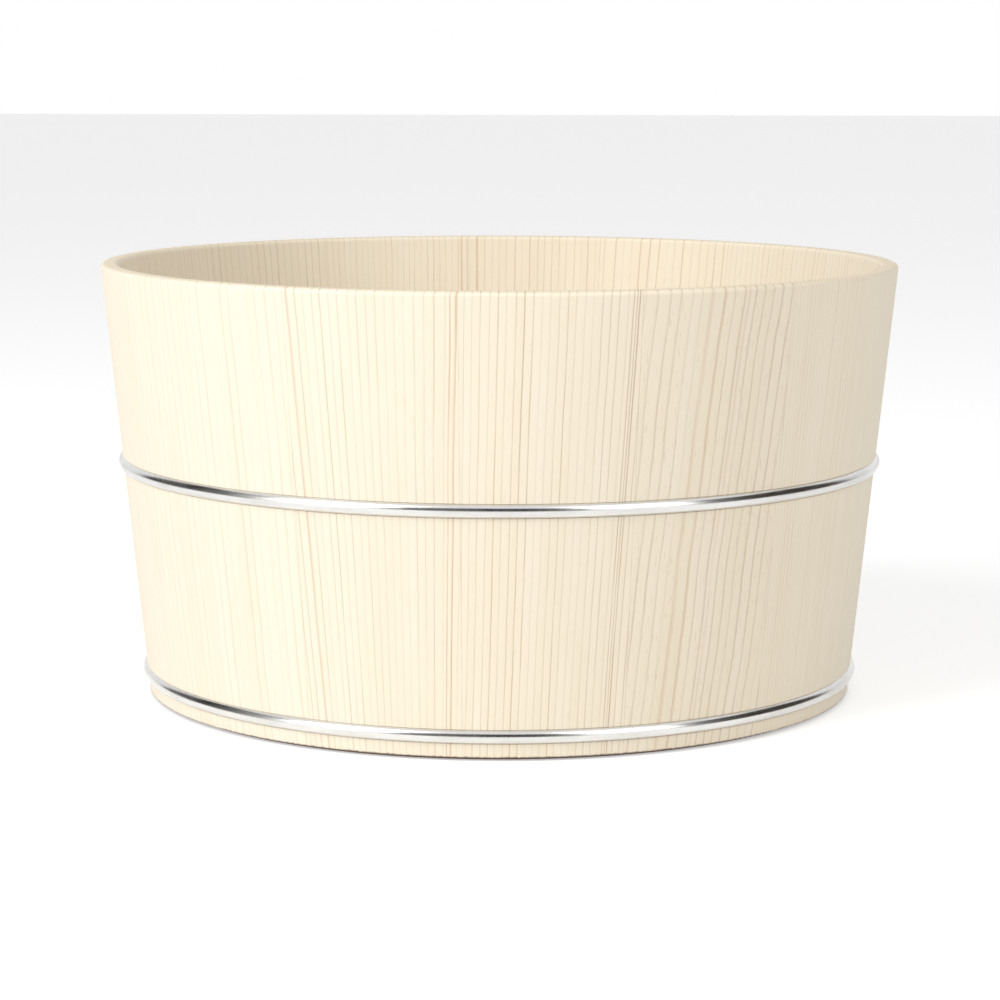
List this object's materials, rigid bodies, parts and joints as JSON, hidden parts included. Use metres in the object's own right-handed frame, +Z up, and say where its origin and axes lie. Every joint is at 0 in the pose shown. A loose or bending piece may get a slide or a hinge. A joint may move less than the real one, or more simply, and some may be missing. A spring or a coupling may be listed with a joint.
{
  "type": "wooden bucket",
  "caption": "Low tapered coopered bucket: wooden staves held by sunk wire hoops round a bevelled board bottom, open at the top to hold, carry and scoop water.",
  "frame": {"origin": "centre of the foot, on the plane that the bucket stands on", "axes": "+Z up along the bucket's axis, -Y towards the front as pictured, +X to the right"},
  "size_m": [0.2248, 0.2248, 0.122],
  "materials": {
    "stave_wood": "bare planed softwood with straight upright grain, satin",
    "board_wood": "bare planed softwood with straight grain, satin",
    "hoop_steel": "drawn and polished stainless wire",
    "pin_bamboo": "bare bamboo, shaved round"
  },
  "bodies": {
    "root": {"stave_01": "stave_wood", "stave_02": "stave_wood", "stave_03": "stave_wood", "stave_04": "stave_wood", "stave_05": "stave_wood", "stave_06": "stave_wood", "stave_07": "stave_wood", "stave_08": "stave_wood", "stave_09": "stave_wood", "stave_10": "stave_wood", "stave_11": "stave_wood", "stave_12": "stave_wood", "stave_13": "stave_wood", "stave_14": "stave_wood", "stave_15": "stave_wood", "bottom_board_left": "board_wood", "bottom_board_middle": "board_wood", "bottom_board_right": "board_wood", "upper_hoop": "hoop_steel", "lower_hoop": "hoop_steel", "lower_stave_pins": "pin_bamboo", "upper_stave_pins": "pin_bamboo", "bottom_pins": "pin_bamboo"}
  },
  "joints": []
}
